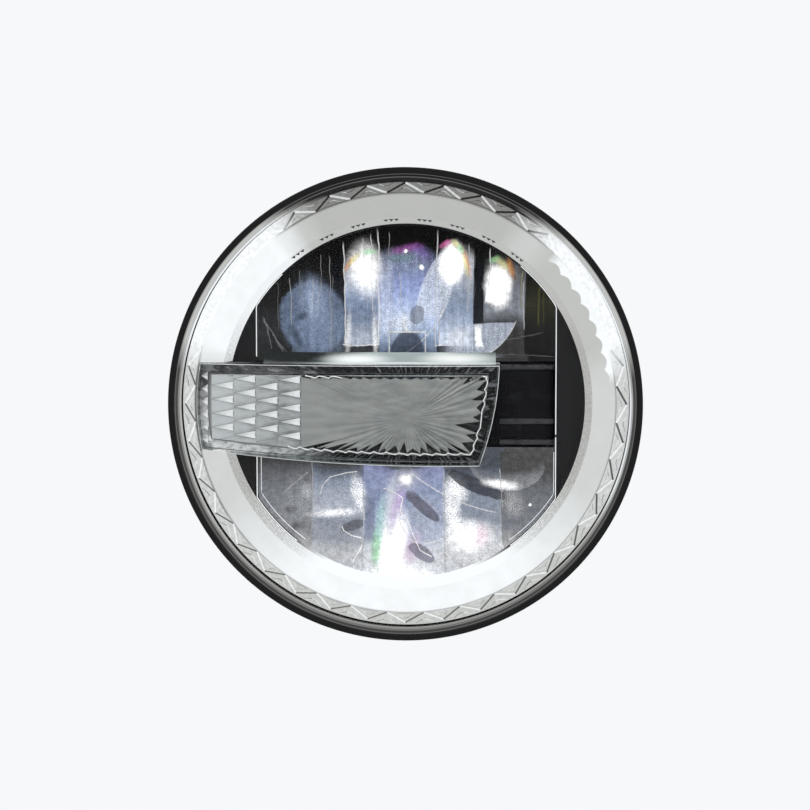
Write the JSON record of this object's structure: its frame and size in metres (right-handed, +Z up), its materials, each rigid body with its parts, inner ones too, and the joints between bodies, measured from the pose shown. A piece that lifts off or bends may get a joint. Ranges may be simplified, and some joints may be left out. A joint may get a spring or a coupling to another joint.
{
  "type": "round motorcycle headlight",
  "caption": "Round motorcycle headlight with a domed clear lens, a lit ring guide, faceted upper and lower mirrors split by a bar, a finned rear heat sink and a plug socket.",
  "frame": {"origin": "centre of the circle of rear mounting bosses, on the plane of their end faces", "axes": "+Y along the optical axis toward the rear, the lamp shines toward -Y; +Z up; +X to the right of a person who faces the lamp"},
  "size_m": [0.178, 0.1088, 0.178],
  "materials": {
    "rim_black": "satin",
    "clear_lens": "polished",
    "housing_black": "fine textured",
    "insert_brass": "machined",
    "halo_white": "lit, clear to frosted",
    "board_white": "solder mask",
    "light_source": "phosphor",
    "bezel_black": "gloss",
    "mirror_bright": "vacuum plated",
    "bare_aluminium": "as cast",
    "bar_clear": "polished",
    "star_frost": "pleated, satin",
    "prism_clear": "polished prisms",
    "bar_bright": "plated",
    "board_green": "solder mask",
    "coil_grey": "moulded ferrite",
    "seal_rubber": "moulded",
    "socket_black": "moulded",
    "pin_metal": "tinned",
    "vent_grey": "moulded"
  },
  "bodies": {
    "root": {"trim_ring": "rim_black", "outer_lens": "clear_lens", "rear_housing": "housing_black", "mount_inserts": "insert_brass", "halo_light_guide": "halo_white", "halo_board": "board_white", "halo_leds": "light_source", "inner_bezel": "bezel_black", "low_beam_reflector": "mirror_bright", "high_beam_reflector": "mirror_bright", "divider_mask": "bezel_black", "led_bracket": "bare_aluminium", "low_beam_board": "board_white", "high_beam_board": "board_white", "low_beam_leds": "light_source", "high_beam_leds": "light_source", "bar_lens": "bar_clear", "star_optic": "star_frost", "prism_optic": "prism_clear", "bar_housing": "bar_bright", "bar_board": "board_white", "bar_leds": "light_source", "driver_board": "board_green", "driver_standoffs": "insert_brass", "driver_coils": "coil_grey", "driver_capacitor": "bare_aluminium", "heat_sink": "bare_aluminium", "heat_sink_gasket": "seal_rubber", "connector_socket": "socket_black", "connector_pins": "pin_metal", "connector_seal": "seal_rubber", "breather_vent": "vent_grey"}
  },
  "joints": []
}
